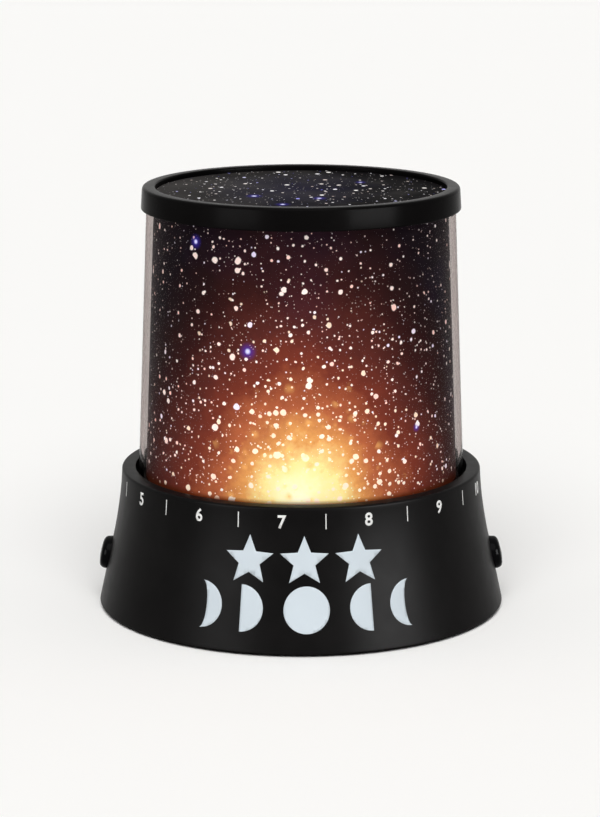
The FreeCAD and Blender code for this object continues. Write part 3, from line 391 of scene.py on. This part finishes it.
def night_film():
    """The printed film with stars in a dark red sky, and the light of the lamp inside painted on: a
    painted warm glow low at the front.
    """
    n = Nodes("film_print")
    x, y, z = n.place()
    around = n.math("ARCTAN2", x, n.math("MULTIPLY", y, -1.0))
    u = n.math("MULTIPLY", around, 43.0)
    at = n.vector(u, z, 0.0)
    # distance from the heart of the painted glow in millimetres, counted further sideways the higher it
    # is
    rise = n.math("SUBTRACT", z, 40.0)
    wide = n.math("MULTIPLY", u, n.math("ADD", n.math("DIVIDE", rise, 120.0), 1.10))
    reach = n.length(wide, rise)
    ripple = n.math("ADD", n.sway(at, 17.0, 0.07, 5.0, 0.6), n.sway(at, 5.0, 0.6, 4.0, 0.65))
    far = n.math("DIVIDE", n.math("ADD", reach, ripple), 90.0, clamp=True)
    # the ramp holds the painted glow of the lamp inside, near white at its heart, over the dark red print
    # of the sky
    sky = n.ramp(far, [
        (0.00, srgb(253, 252, 214)), (0.06, srgb(252, 248, 190)), (0.12, srgb(247, 226, 150)),
        (0.20, srgb(218, 152, 86)), (0.29, srgb(172, 94, 60)), (0.41, srgb(112, 50, 37)),
        (0.54, srgb(80, 37, 32)), (0.68, srgb(48, 22, 21)), (0.82, srgb(31, 16, 17)),
        (1.00, srgb(17, 11, 16))])
    # a violet cast in a few places of the dark sky
    places = n.math("SUBTRACT", n.noise(n.vector(u, z, 40.0), 0.035, 2.0), 0.52)
    cast = n.math("MULTIPLY", places, 2.2, clamp=True)
    stars = n.mix(n.math("MULTIPLY", cast, n.math("MULTIPLY", far, 0.5)), sky, srgb(30, 20, 52))
    # how strong the painted glow is at each place
    painted_glow = n.math("SUBTRACT", 1.0, n.math("MULTIPLY", far, 1.25), clamp=True)
    # towards the painted glow the stars are closer together, and painted brighter and warmer as if lit by
    # it
    painted_glow_lift = n.math("ADD", 0.72, n.math("MULTIPLY", painted_glow, 0.9))
    crowd = n.math("SUBTRACT", 1.12, n.math("MULTIPLY", far, 0.68))
    painted_glow_warmth = n.math("MULTIPLY", n.math("SUBTRACT", painted_glow, 0.45), 1.8, clamp=True)
    for cell, share, radius, seed, level in FILM_STARS:
        chance = n.math("MULTIPLY", share, crowd)
        mask, tone = star_layer(n, u, z, cell, chance, radius, seed, 0.9 if radius > 0.3 else 0.0)
        tint = n.ramp(tone, [(0.0, srgb(255, 210, 198)), (0.35, srgb(255, 230, 222)),
                             (0.85, srgb(255, 246, 240)), (1.0, srgb(236, 228, 255))])
        warm = n.mix(painted_glow_warmth, tint, srgb(255, 244, 190))
        shown = n.math("MULTIPLY", n.math("MULTIPLY", mask, level), painted_glow_lift, clamp=True)
        stars = n.mix(shown, stars, warm)
    # soft golden blots among the stars, only where the painted glow is and as strong as it
    heart = n.math("MULTIPLY", n.math("SUBTRACT", painted_glow, 0.42), 2.0, clamp=True)
    mask, _ = star_layer(n, u, z, 4.2, heart, 1.7, 71.0, ragged=0.8, soft=1.2)
    stars = n.mix(n.math("MULTIPLY", mask, heart, clamp=True), stars, srgb(255, 200, 118))
    # one more layer of pale stars that is thickest in the painted glow and painted brighter there
    mask, _ = star_layer(n, u, z, 3.4, n.math("MULTIPLY", painted_glow, 0.8), 0.9, 83.0, ragged=0.9)
    painted_glow_shine = n.math("ADD", n.math("MULTIPLY", painted_glow, 1.2), 0.45, clamp=True)
    stars = n.mix(n.math("MULTIPLY", mask, painted_glow_shine, clamp=True), stars, srgb(255, 232, 208))
    # the foot of the film runs out in a darker edge, painted orange where the painted glow lights it and
    # dark red elsewhere
    edge = n.math("MULTIPLY", n.math("SUBTRACT", 40.4, z), 0.75, clamp=True)
    stars = n.mix(edge, stars, n.mix(painted_glow, srgb(24, 10, 9), srgb(108, 46, 18)))
    for at_u, at_z, size in FILM_BLUE:
        stars = blue_star(n, stars, u, z, at_u, at_z, size)
    # the whole print gives off its colour as a painted glow, though the film is no lamp
    return n.paint_glow(stars, 0.82, 0.5, 0.03)


def night_disc():
    """The top disc: dark grey with fine stars and a bluish patch of sky in the middle, a painted sheen
    that makes it lighter to the left, and a faint painted glow.
    """
    n = Nodes("disc_print_painted_sheen")
    x, y, _ = n.place()
    at = n.vector(x, y, 0.0)
    # the patch and the stars are a little longer from front to back
    deep = n.math("MULTIPLY", y, 0.7)
    middle = n.length(n.math("ADD", x, 2.0), deep)
    away = n.math("DIVIDE", n.math("ADD", middle, n.sway(at, 26.0, 0.08, 4.0)), 27.0)
    patch = n.math("SUBTRACT", 1.0, away, clamp=True)
    # slow random tone of the print, plus a painted sheen: lighter to the left as if a lamp at the left
    # back shone in the disc
    tone_and_painted_sheen = n.math("ADD", n.noise(at, 0.05, 3.0), n.math("DIVIDE", x, -120.0))
    sky = n.ramp(tone_and_painted_sheen, [(0.3, srgb(14, 13, 14)), (0.9, srgb(56, 54, 53))])
    stars = n.mix(n.math("MULTIPLY", patch, 0.3), sky, srgb(28, 24, 60))
    # the stars' cells are turned, so that their rows don't follow the disc's axes
    across = n.math("ADD", n.math("MULTIPLY", x, 0.83), n.math("MULTIPLY", deep, 0.56))
    along = n.math("SUBTRACT", n.math("MULTIPLY", deep, 0.83), n.math("MULTIPLY", x, 0.56))
    for cell, share, radius, seed, level in DISC_STARS:
        mask, tone = star_layer(n, across, along, cell, share, radius, seed, 0.7 if radius > 0.3 else 0.0)
        tint = n.ramp(tone, [(0.0, srgb(196, 178, 172)), (0.5, srgb(240, 236, 234)),
                             (0.86, srgb(246, 244, 250)), (0.97, srgb(140, 136, 240))])
        stars = n.mix(n.math("MULTIPLY", mask, level), stars, tint)
    for at_x, at_y, size in DISC_BLUE:
        stars = blue_star(n, stars, x, deep, at_x, at_y, size, strength=0.5)
    # a faint painted glow, though the disc is no lamp
    return n.paint_glow(stars, 0.1, 0.45, 0.0008)


def clear_plastic():
    """Clear tube wall. Lamps reach through it, so the film behind stays lit."""
    n = Nodes("clear_acrylic")
    n.shader.inputs["Base Color"].default_value = (0.87, 0.865, 0.86, 1)
    n.shader.inputs["Transmission Weight"].default_value = 1.0
    n.shader.inputs["Roughness"].default_value = 0.03
    n.shader.inputs["IOR"].default_value = 1.025
    rays = n.new("LightPath")
    through = n.new("BsdfTransparent")
    through.inputs[0].default_value = (0.94, 0.94, 0.94, 1)
    either = n.math("MAXIMUM", rays.outputs["Is Shadow Ray"], rays.outputs["Is Diffuse Ray"])
    mixed = n.new("MixShader")
    n.link(either, mixed.inputs[0])
    n.link(n.shader.outputs[0], mixed.inputs[1])
    n.link(through.outputs[0], mixed.inputs[2])
    n.link(mixed.outputs[0], n.out.inputs[0])
    # the wall is greyer where it is seen along its length
    body = n.new("VolumeAbsorption")
    body.inputs["Color"].default_value = (0.55, 0.47, 0.45, 1)
    body.inputs["Density"].default_value = 180.0
    n.link(body.outputs[0], n.out.inputs[1])
    return n.mat


base_black = plastic("base_black", srgb(15, 14, 14), 0.36, grain=0.05, specular=0.024)
ring_black = plastic("ring_black", srgb(12, 11, 11), 0.22, grain=0.05, specular=0.007)
cover_black = plastic("cover_black", srgb(30, 30, 31), 0.6, grain=0.3)
dome_black = plastic("dome_black", srgb(24, 24, 26), 0.55, grain=0.2, specular=0.2)
button_black = plastic("button_black", srgb(8, 8, 9), 0.14, specular=0.02)
ink_white = plastic("ink_white", srgb(204, 214, 221), 0.5, patch=0.03, specular=0.3)
label_white = plastic("label_white", srgb(236, 236, 234), 0.5, patch=0.03, specular=0.3)
film_mat = night_film()
disc_mat = night_disc()
clear_mat = clear_plastic()


# the base's shell

def base_section():
    """The shell's outline: up the outer wall, over the rim, through the groove and back inside."""
    steps = 12
    heights = [FOOT, 1.6, 6, 12, 18, CONE_H]
    heights += [CONE_H + (BASE_H - CONE_H) * k / steps for k in range(1, steps + 1)]
    outer = [(outer_radius(z), z) for z in heights]
    rim = len(outer) - 1
    rest = [(MOAT_OUT, BASE_H), (MOAT_OUT, MOAT_Z), (MOAT_IN, MOAT_Z), (MOAT_IN, DECK_Z),
            (HOLE_R, DECK_Z), (HOLE_R, DECK_Z - WALL), (MOAT_IN - WALL, DECK_Z - WALL),
            (MOAT_IN - WALL, MOAT_Z - WALL), (RIM_R - WALL, MOAT_Z - WALL), (BASE_R - WALL, FOOT)]
    return rounded(outer + rest, {0: 0.3, rim: 0.7, rim + 1: 0.2, rim + 4: 0.4, rim + 5: 0.3})


base = lathe("base_skin", base_section(), base_black, sides=FINE)
button_holes = [((side * 54, 0, BUTTON_Z), (1, 0, 0), BUTTON_R + 0.2, 24) for side in (-1, 1)]
inlet_hole = ((0, 54, INLET_Z), (0, 1, 0), INLET_R, 20)
drill(base, button_holes + [inlet_hole])
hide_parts("base_shell")
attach(base, "base")


# the shade: ring, clear tube, film and disc

ring_under = LAMP_H - RING_H
ring = lathe("ring_skin", rounded([
    (RING_R, ring_under), (RING_R - 0.4, LAMP_H), (OPEN_R, LAMP_H), (OPEN_R, DISC_Z), (SEAT_R, DISC_Z),
    (SEAT_R, TUBE_TOP), (SHADE_TOP + 0.2, TUBE_TOP), (SHADE_TOP + 0.2, ring_under)],
    {0: 0.4, 1: 1.0, 2: 0.6}), ring_black, sides=FINE)
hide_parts("top_ring")

lip_z = FILM_Z - MOAT_Z
slope = (SHADE_FOOT - SHADE_TOP) / (TUBE_TOP - MOAT_Z)
tube = lathe("tube_skin", [
    (SHADE_FOOT, MOAT_Z), (SHADE_TOP, TUBE_TOP), (SHADE_TOP - TUBE_WALL, TUBE_TOP),
    (SHADE_FOOT - slope * lip_z - TUBE_WALL, FILM_Z), (FILM_FOOT - 2 * FILM_T, FILM_Z),
    (FILM_FOOT - 2 * FILM_T, MOAT_Z)], clear_mat, sides=FINE)
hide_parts("shade_tube")

film = lathe("film_skin", [
    (FILM_FOOT, FILM_Z), (FILM_TOP, TUBE_TOP), (FILM_TOP - FILM_T, TUBE_TOP),
    (FILM_FOOT - FILM_T, FILM_Z)], film_mat, sides=FINE)
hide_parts("star_film")

disc_r = OPEN_R - 0.1
disc_top = DISC_Z + DISC_T
disc = lathe("disc_skin", rounded([(0, DISC_Z), (disc_r, DISC_Z), (disc_r, disc_top), (0, disc_top)],
                                  {2: 0.2}), disc_mat)
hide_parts("star_disc")
for piece in (ring, tube, film, disc):
    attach(piece, "shade")


# the buttons

def button(side):
    """A turned cap with a low crown, whose face leans with the wall."""
    wall_x = BASE_R - CONE_LEAN / (CONE_H - FOOT) * (BUTTON_Z - FOOT)
    # the cap's back, the collar behind the wall, the proud face and the flat middle of its crown
    back, collar_r, collar_t = 47.69, BUTTON_R + 1.4, 1.2
    proud, crown, tip = 2.65, 0.45, 0.8
    face = wall_x + proud
    lean = math.tan(math.radians(11))
    section = rounded([
        (0, back), (collar_r, back), (collar_r, back + collar_t), (BUTTON_R, back + collar_t),
        (BUTTON_R - 0.1, face - crown), (tip, face), (0, face)], {4: 2.2, 5: 0.4}, steps=8)
    bm = bmesh.new()
    lathe_mesh(bm, section, 96)
    for v in bm.verts:
        x, y, z = v.co
        # only what stands proud of the wall leans
        share = min(max((z / MM - wall_x) / proud, 0), 1)
        height = -x
        v.co = Vector((side * (z - share * height * lean), side * y, height + BUTTON_Z * MM))
    name = "button_skin_left" if side < 0 else "button_skin_right"
    piece = mesh_object(name, bm, button_black)
    node = "button_left" if side < 0 else "button_right"
    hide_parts(node)
    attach(piece, node)


for side in (-1, 1):
    button(side)


# prints on the base

def wrap(bm, azimuth, z_mid):
    """Lay a flat drawing (x to the right, y up, millimetres) just off the base, azimuth measured
    from the front towards +X."""
    for axis, step, way in ((0, 1, Vector((1, 0, 0))), (1, 2, Vector((0, 1, 0)))):
        places = [v.co[axis] for v in bm.verts]
        for k in range(math.ceil(min(places) / step), math.ceil(max(places) / step)):
            bmesh.ops.bisect_plane(bm, geom=bm.verts[:] + bm.edges[:] + bm.faces[:], dist=1e-6,
                                   plane_co=way * step * k, plane_no=way)
    for v in bm.verts:
        z = z_mid + v.co.y
        r = outer_radius(z) + 0.05
        turn = math.radians(azimuth) + v.co.x / outer_radius(z_mid)
        v.co = Vector((r * math.sin(turn) * MM, -r * math.cos(turn) * MM, z * MM))


def flat_shape(points):
    """A closed outline of (x, y) points, filled with flat faces."""
    bm = bmesh.new()
    face = bm.faces.new([bm.verts.new((x, y, 0)) for x, y in points])
    face.normal_update()
    bmesh.ops.triangulate(bm, faces=[face])
    return bm


def text_shape(text, height, squeeze):
    """A line of slightly bold figures, centred, with the given cap height in millimetres."""
    curve = bpy.data.curves.new("figures", "FONT")
    curve.body = text
    curve.align_x = "CENTER"
    curve.size = 1
    curve.offset = 0.022
    curve.resolution_u = 3
    shape = bpy.data.objects.new("figures", curve)
    bpy.context.collection.objects.link(shape)
    bpy.context.view_layer.update()
    mesh = bpy.data.meshes.new_from_object(shape.evaluated_get(bpy.context.evaluated_depsgraph_get()))
    top = max(v.co.y for v in mesh.vertices)
    bm = bmesh.new()
    bm.from_mesh(mesh)
    for v in bm.verts:
        v.co = Vector((v.co.x * height / top * squeeze, v.co.y * height / top - height / 2, 0))
    bpy.data.objects.remove(shape)
    bpy.data.curves.remove(curve)
    bpy.data.meshes.remove(mesh)
    return bm


def lay(target, drawing, azimuth, z_mid):
    """Wrap a drawing round the base and add it to a print."""
    wrap(drawing, azimuth, z_mid)
    join_into(target, drawing)


def ink(name, bm, material):
    """Give the laid drawing the thickness of a print."""
    bmesh.ops.remove_doubles(bm, verts=bm.verts, dist=0.002 * MM)
    for face in bm.faces:
        centre = face.calc_center_median()
        if face.normal.dot(Vector((centre.x, centre.y, 0))) < 0:
            face.normal_flip()
    mesh = bpy.data.meshes.new(name)
    bm.to_mesh(mesh)
    bm.free()
    mesh.shade_smooth()
    mesh.materials.append(material)
    piece = bpy.data.objects.new(name, mesh)
    bpy.context.collection.objects.link(piece)
    thick = piece.modifiers.new("ink", "SOLIDIFY")
    thick.thickness = 0.04 * MM
    thick.offset = -1
    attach(piece, "base")


# twelve figures round the front and sides, with a bare stretch over the inlet
LABEL_Z, LABEL_H, PITCH, FIRST = 36.2, 3.5, 26.8, -5.9
DIVIDER = [(-0.14, -2.1), (0.14, -2.1), (0.14, 2.1), (-0.14, 2.1)]
dial = bmesh.new()
for k in range(12):
    lay(dial, text_shape(str(k + 1), LABEL_H, 0.95), FIRST + PITCH * (k - 6), LABEL_Z)
    lay(dial, flat_shape(DIVIDER), FIRST + PITCH * (k - 5.5), LABEL_Z)
ink("dial_print", dial, label_white)

# three stars over five moons on the front: heights and radii, and each moon's place, lit share
# and lit side
STAR_Z, STAR_R = 25.4, 7.0
MOON_Z, MOON_R = 12.6, 6.3
MOONS = ((-28.4, 0.36, 1), (-16.7, 0.5, 1), (1.5, 0.999, 1), (19.7, 0.5, -1), (31.4, 0.36, -1))


def star_outline(cx):
    """A five-pointed star, one point up."""
    points = []
    for k in range(10):
        reach = STAR_R if k % 2 == 0 else STAR_R * 0.44
        turn = math.radians(90 + 36 * k)
        points.append((cx + reach * math.cos(turn), reach * math.sin(turn)))
    return points


def moon_outline(cx, lit, side):
    """A moon whose lit share grows from its right edge, or its left one for side -1."""
    steps = 24
    turns = [math.radians(-90 + 180 * k / steps) for k in range(steps + 1)]
    bulge = MOON_R * (1 - 2 * lit)
    limb = [(cx + side * MOON_R * math.cos(a), MOON_R * math.sin(a)) for a in turns]
    inner = [(cx + side * bulge * math.cos(a), -MOON_R * math.sin(a)) for a in turns[1:-1]]
    return limb + inner


front = bmesh.new()
for x in (-14.2, 0.9, 16.0):
    lay(front, flat_shape(star_outline(x)), 0, STAR_Z)
for x, lit, side in MOONS:
    lay(front, flat_shape(moon_outline(x, lit, side)), 0, MOON_Z)
ink("front_print", front, ink_white)


# the pierced dome under the shade

def bowl(radius):
    """The dome's outline at a radius, from its foot up to where its top flattens."""
    turns = [math.radians(a) for a in range(0, DOME_TOP, 4)]
    return [(radius * math.cos(a), DOME_Z + radius * math.sin(a)) for a in turns]


def dome_section():
    """The dome's outline: a stepped neck, a flange and a thin bowl."""
    flange_z, flange_r = 39.3, 36.5
    neck_r, step_r, neck_in = HOLE_R - 0.08, HOLE_R - 0.88, HOLE_R - 2.08
    neck_z, step_z = 35.3, 37.1
    neck = [(step_r, neck_z), (step_r, step_z), (neck_r, step_z), (neck_r, flange_z),
            (flange_r, flange_z), (flange_r, DOME_Z)]
    # above its last zone the dome is nearly flat, as its node is
    last = math.radians(DOME_TOP)
    inside = DOME_R - DOME_WALL
    top_z = DOME_Z + DOME_R * math.sin(last)
    cap = [(DOME_R * math.cos(last), top_z), (0, top_z),
           (0, top_z - DOME_WALL), (inside * math.cos(last), top_z - DOME_WALL)]
    return neck + bowl(DOME_R) + cap + bowl(inside)[::-1] + [(neck_in, DOME_Z), (neck_in, neck_z)]


# the pin holes follow a golden spiral, and their centres lie in the middle of the wall
STARS, GOLDEN, MID_WALL = 26, 137.508, 32.8
LOWEST, HIGHEST = math.sin(math.radians(10)), math.sin(math.radians(68))
dome = lathe("dome_skin", dome_section(), dome_black, sides=144, sharp=25)
pins = []
for i in range(STARS):
    rise = math.asin(LOWEST + (HIGHEST - LOWEST) * (i + 0.5) / STARS)
    turn = math.radians(GOLDEN * i)
    x, y, z = math.cos(rise) * math.cos(turn), math.cos(rise) * math.sin(turn), math.sin(rise)
    centre = (x * MID_WALL, y * MID_WALL, z * MID_WALL + DOME_Z)
    pins.append((centre, (x, y, z), 0.45 * (1 + i % 3 / 2), 5))
drill(dome, pins)
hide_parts("star_dome")
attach(dome, "star_dome")


# the screws with their cross heads, and the ribs on the battery door

screws = bmesh.new()
# the two arms of the crosses are cut one after the other, because they overlap
arms = [(bmesh.new(), (3.0, 0.7, 1.0)), (bmesh.new(), (0.7, 3.0, 1.0))]
for side in (-1, 1):
    for end in (-1, 1):
        x, y = side * SCREW_X, end * SCREW_Y
        one = bmesh.new()
        lathe_mesh(one, rounded([(0, 1.2), (2.8, 1.2), (2.8, 2.4), (1.25, 2.4), (1.25, 10.4), (0, 10.4)],
                                {1: 0.5}), 48)
        bmesh.ops.translate(one, verts=one.verts, vec=Vector((x, y, 0)) * MM)
        join_into(screws, one)
        for cutter, size in arms:
            box(cutter, (x, y, 1.5), size)
screw_skin = mesh_object("screw_skin", screws, metal("screw_steel", (0.55, 0.55, 0.56), 0.35))
for cutter, _ in arms:
    carve(screw_skin, cutter)
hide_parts("base_screws")
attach(screw_skin, "base")

ribs = bmesh.new()
for k in range(6):
    box(ribs, (0, 19 + 1.6 * k, 1.15), (14, 0.7, 0.5))
bmesh.ops.bevel(ribs, geom=ribs.edges[:], offset=0.12 * MM, segments=2, affect="EDGES")
door_ribs = mesh_object("door_ribs", ribs, cover_black)
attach(door_ribs, "battery_door")


# finishes for the CAD nodes that stay

FINISHES = {
    "bottom_cover": cover_black,
    "battery_door": cover_black,
    "rubber_feet": plastic("foot_rubber", srgb(38, 38, 38), 0.8, grain=0.3),
    "board_screws": metal("board_screw_steel", (0.55, 0.55, 0.56), 0.35),
    "battery_cells": plastic("cell_jacket", srgb(150, 154, 160), 0.35, coat=0.4),
    "contact_plates": metal("contact_metal", (0.75, 0.75, 0.74), 0.3),
    "contact_leaves": metal("leaf_metal", (0.75, 0.75, 0.74), 0.3),
    "led_pins": metal("pin_metal", (0.78, 0.76, 0.7), 0.3),
    "jack_pin": metal("jack_pin_metal", (0.8, 0.78, 0.7), 0.25),
    "control_board": plastic("board_green", srgb(26, 92, 50), 0.4, coat=0.3),
    "led_board": plastic("led_board_green", srgb(26, 92, 50), 0.4, coat=0.3),
    "control_chip": plastic("chip_epoxy", srgb(32, 32, 33), 0.5, grain=0.3),
    "resistors": plastic("resistor_body", srgb(36, 36, 40), 0.45),
    "capacitor": plastic("capacitor_sleeve", srgb(34, 38, 70), 0.35),
    "led_post": plastic("post_white", srgb(222, 222, 216), 0.5, patch=0.04),
    "led_warm": plastic("led_warm_lens", srgb(246, 226, 170), 0.15, patch=0.05, coat=0.5),
    "leds_colour": plastic("led_colour_lens", srgb(214, 224, 242), 0.15, patch=0.05, coat=0.5),
    "switch_left": plastic("switch_body", srgb(44, 44, 46), 0.5),
    "switch_right": plastic("switch_body_b", srgb(44, 44, 46), 0.5),
    "plunger_left": plastic("plunger", srgb(60, 60, 62), 0.4),
    "plunger_right": plastic("plunger_b", srgb(60, 60, 62), 0.4),
    "dc_jack": plastic("jack_body", srgb(26, 26, 27), 0.4),
    "switch_lead_left": plastic("lead_red", srgb(150, 30, 26), 0.45),
    "switch_lead_right": plastic("lead_red_b", srgb(150, 30, 26), 0.45),
    "jack_lead": plastic("lead_black", srgb(34, 34, 36), 0.45),
    "dome_retainer": dome_black,
}
LEADS = ("switch_lead_left", "switch_lead_right", "jack_lead")
for node, material in FINISHES.items():
    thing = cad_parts[node]
    if not thing.material_slots:
        thing.data.materials.append(material)
    for slot in thing.material_slots:
        slot.link = "OBJECT"
        slot.material = material
    if node not in LEADS:
        soft = thing.modifiers.new("soft_edges", "BEVEL")
        soft.width = 0.12 * MM
        soft.segments = 2
        soft.limit_method = "ANGLE"
        soft.angle_limit = math.radians(40)


# the studio

PALE = srgb(250, 249, 247)


def floor():
    """A pale table that fills the picture."""
    bm = bmesh.new()
    bm.faces.new([bm.verts.new((x, y, 0)) for x, y in ((-60, -60), (60, -60), (60, 60), (-60, 60))])
    n = Nodes("table")
    n.shader.inputs["Base Color"].default_value = (*PALE, 1)
    n.shader.inputs["Roughness"].default_value = 0.9
    n.shader.inputs["Specular IOR Level"].default_value = 0.0
    mesh_object("table", bm, n.mat)


def sky_lamp(name, strength, angle, lean):
    """A wide soft sun from above, leaning towards the front by some degrees."""
    data = bpy.data.lights.new(name, "SUN")
    data.energy = strength
    data.angle = math.radians(angle)
    light = bpy.data.objects.new(name, data)
    light.rotation_euler = (math.radians(lean), 0, 0)
    bpy.context.collection.objects.link(light)


def soft_box(name, azimuth, energy, width, height, shone_on):
    """An upright soft box beside the camera that only draws a band of gloss down the black plastic.
    The azimuth is measured from the front towards +X, and the sizes are in metres."""
    data = bpy.data.lights.new(name, "AREA")
    data.shape = "RECTANGLE"
    data.size = width
    data.size_y = height
    data.energy = energy
    light = bpy.data.objects.new(name, data)
    turn = math.radians(azimuth)
    light.location = (math.sin(turn), -math.cos(turn), height / 2 + 0.01)
    light.rotation_euler = (math.radians(90), 0, turn)
    light.visible_camera = False
    light.visible_diffuse = False
    light.visible_transmission = False
    light.light_linking.receiver_collection = shone_on
    bpy.context.collection.objects.link(light)


def room():
    """A dim room for the light, and a plain pale backdrop wherever the camera, gloss or glass
    sees it."""
    world = bpy.data.worlds.new("room")
    bpy.context.scene.world = world
    world.use_nodes = True
    tree = world.node_tree
    dim = tree.nodes["Background"]
    dim.inputs[0].default_value = (1, 1, 1, 1)
    dim.inputs[1].default_value = 0.09
    backdrop = tree.nodes.new("ShaderNodeBackground")
    backdrop.inputs[0].default_value = (*PALE, 1)
    backdrop.inputs[1].default_value = 1.0
    rays = tree.nodes.new("ShaderNodeLightPath")
    seen = rays.outputs["Is Camera Ray"]
    for ray in ("Is Glossy Ray", "Is Transmission Ray"):
        either = tree.nodes.new("ShaderNodeMath")
        either.operation = "MAXIMUM"
        tree.links.new(seen, either.inputs[0])
        tree.links.new(rays.outputs[ray], either.inputs[1])
        seen = either.outputs[0]
    both = tree.nodes.new("ShaderNodeMixShader")
    tree.links.new(seen, both.inputs[0])
    tree.links.new(dim.outputs[0], both.inputs[1])
    tree.links.new(backdrop.outputs[0], both.inputs[2])
    tree.links.new(both.outputs[0], tree.nodes["World Output"].inputs[0])


floor()
sky_lamp("sun_front", 2.3, 50, 38)
sky_lamp("sun_above", 1.05, 100, 0)
glossy = bpy.data.collections.new("glossy")
for name in ("base_skin", "ring_skin", "button_skin_left", "button_skin_right"):
    glossy.objects.link(bpy.data.objects[name])
soft_box("box_right", 51, 31.0, 0.62, 0.5, glossy)
soft_box("box_left", -45, 11.0, 0.56, 0.5, glossy)
room()

# the camera looks a little down on the lamp, as in the photo
CAMERA_TILT = 12.53
camera_data = bpy.data.cameras.new("camera")
camera_data.sensor_width = 36
camera_data.lens = 126.5
camera = bpy.data.objects.new("camera", camera_data)
camera.location = (-0.0003, -0.800, 0.2339)
camera.rotation_euler = (math.radians(90 - CAMERA_TILT), 0, 0)
bpy.context.collection.objects.link(camera)
bpy.context.scene.camera = camera
bpy.context.scene.view_settings.view_transform = "Standard"
